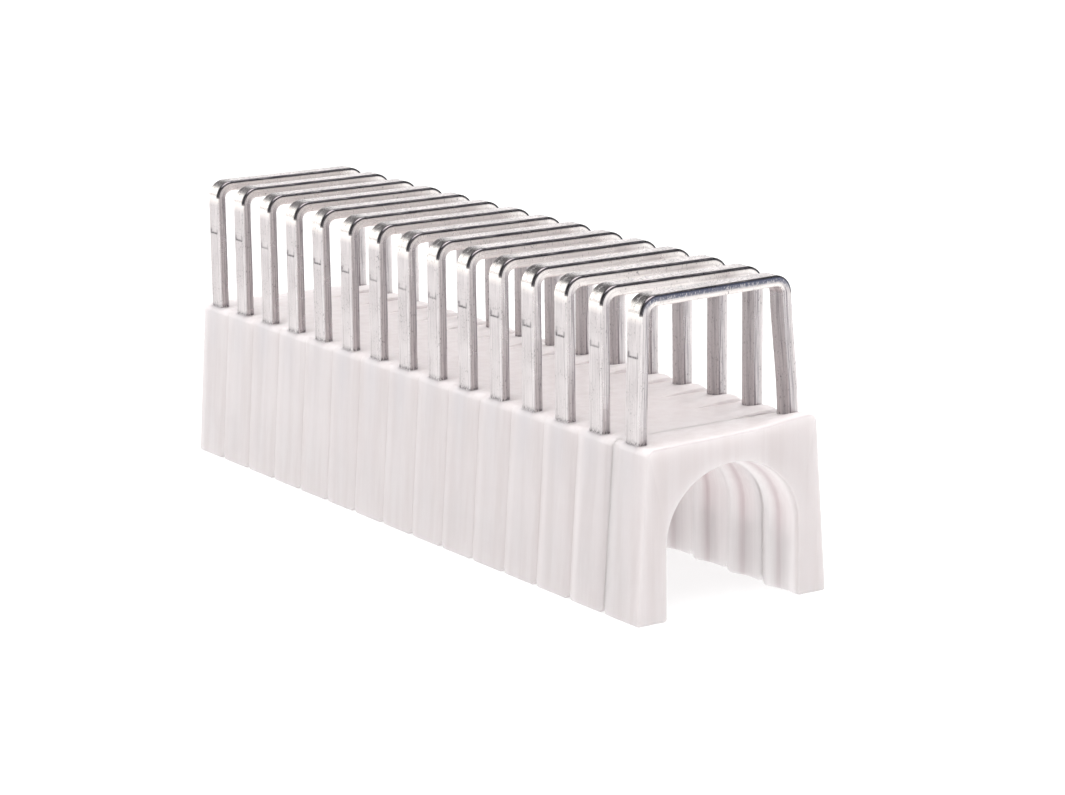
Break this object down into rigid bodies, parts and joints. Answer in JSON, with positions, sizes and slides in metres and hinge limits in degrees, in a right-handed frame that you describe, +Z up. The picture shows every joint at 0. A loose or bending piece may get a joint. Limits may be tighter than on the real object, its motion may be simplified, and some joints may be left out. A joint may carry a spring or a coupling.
{
  "type": "insulated cable staple strip",
  "caption": "Straight strip of insulated cable staples: flat-wire steel staples part driven through arched translucent plastic saddles joined side by side by thin shear webs.",
  "frame": {"origin": "middle of the strip on the plane of the saddle feet", "axes": "+X along the strip toward the end that is driven first, +Z up from the feet to the staple crowns, +Y to the right shoulder with the raised lips when seen from the front end"},
  "size_m": [0.038, 0.0098, 0.0136],
  "materials": {
    "saddle_plastic": "milky translucent white moulded plastic, soft satin shine",
    "staple_wire": "galvanised flat steel wire with fine lengthwise drawing lines and dark scuffs"
  },
  "bodies": {
    "strip": {"saddle_01": "saddle_plastic", "saddle_02": "saddle_plastic", "saddle_03": "saddle_plastic", "saddle_04": "saddle_plastic", "saddle_05": "saddle_plastic", "saddle_06": "saddle_plastic", "saddle_07": "saddle_plastic", "saddle_08": "saddle_plastic", "saddle_09": "saddle_plastic", "saddle_10": "saddle_plastic", "saddle_11": "saddle_plastic", "saddle_12": "saddle_plastic", "saddle_13": "saddle_plastic", "saddle_14": "saddle_plastic", "web_01": "saddle_plastic", "web_02": "saddle_plastic", "web_03": "saddle_plastic", "web_04": "saddle_plastic", "web_05": "saddle_plastic", "web_06": "saddle_plastic", "web_07": "saddle_plastic", "web_08": "saddle_plastic", "web_09": "saddle_plastic", "web_10": "saddle_plastic", "web_11": "saddle_plastic", "web_12": "saddle_plastic", "web_13": "saddle_plastic", "web_14": "saddle_plastic"},
    "front_saddle": {"saddle_15": "saddle_plastic"},
    "staple_01_body": {"staple_01": "staple_wire"},
    "staple_02_body": {"staple_02": "staple_wire"},
    "staple_03_body": {"staple_03": "staple_wire"},
    "staple_04_body": {"staple_04": "staple_wire"},
    "staple_05_body": {"staple_05": "staple_wire"},
    "staple_06_body": {"staple_06": "staple_wire"},
    "staple_07_body": {"staple_07": "staple_wire"},
    "staple_08_body": {"staple_08": "staple_wire"},
    "staple_09_body": {"staple_09": "staple_wire"},
    "staple_10_body": {"staple_10": "staple_wire"},
    "staple_11_body": {"staple_11": "staple_wire"},
    "staple_12_body": {"staple_12": "staple_wire"},
    "staple_13_body": {"staple_13": "staple_wire"},
    "staple_14_body": {"staple_14": "staple_wire"},
    "staple_15_body": {"staple_15": "staple_wire"}
  },
  "joints": [
    {"name": "front_saddle_shear", "type": "slide", "parent": "strip", "child": "front_saddle", "axis": [0, 0, 1], "range_m": [-0.0076, 0]},
    {"name": "staple_01_drive", "type": "slide", "parent": "strip", "child": "staple_01_body", "axis": [0, 0, 1], "range_m": [-0.0051, 0]},
    {"name": "staple_02_drive", "type": "slide", "parent": "strip", "child": "staple_02_body", "axis": [0, 0, 1], "range_m": [-0.0051, 0]},
    {"name": "staple_03_drive", "type": "slide", "parent": "strip", "child": "staple_03_body", "axis": [0, 0, 1], "range_m": [-0.0051, 0]},
    {"name": "staple_04_drive", "type": "slide", "parent": "strip", "child": "staple_04_body", "axis": [0, 0, 1], "range_m": [-0.0051, 0]},
    {"name": "staple_05_drive", "type": "slide", "parent": "strip", "child": "staple_05_body", "axis": [0, 0, 1], "range_m": [-0.0051, 0]},
    {"name": "staple_06_drive", "type": "slide", "parent": "strip", "child": "staple_06_body", "axis": [0, 0, 1], "range_m": [-0.0051, 0]},
    {"name": "staple_07_drive", "type": "slide", "parent": "strip", "child": "staple_07_body", "axis": [0, 0, 1], "range_m": [-0.0051, 0]},
    {"name": "staple_08_drive", "type": "slide", "parent": "strip", "child": "staple_08_body", "axis": [0, 0, 1], "range_m": [-0.0051, 0]},
    {"name": "staple_09_drive", "type": "slide", "parent": "strip", "child": "staple_09_body", "axis": [0, 0, 1], "range_m": [-0.0051, 0]},
    {"name": "staple_10_drive", "type": "slide", "parent": "strip", "child": "staple_10_body", "axis": [0, 0, 1], "range_m": [-0.0051, 0]},
    {"name": "staple_11_drive", "type": "slide", "parent": "strip", "child": "staple_11_body", "axis": [0, 0, 1], "range_m": [-0.0051, 0]},
    {"name": "staple_12_drive", "type": "slide", "parent": "strip", "child": "staple_12_body", "axis": [0, 0, 1], "range_m": [-0.0051, 0]},
    {"name": "staple_13_drive", "type": "slide", "parent": "strip", "child": "staple_13_body", "axis": [0, 0, 1], "range_m": [-0.0051, 0]},
    {"name": "staple_14_drive", "type": "slide", "parent": "strip", "child": "staple_14_body", "axis": [0, 0, 1], "range_m": [-0.0051, 0]},
    {"name": "staple_15_drive", "type": "slide", "parent": "front_saddle", "child": "staple_15_body", "axis": [0, 0, 1], "range_m": [-0.0051, 0]}
  ]
}
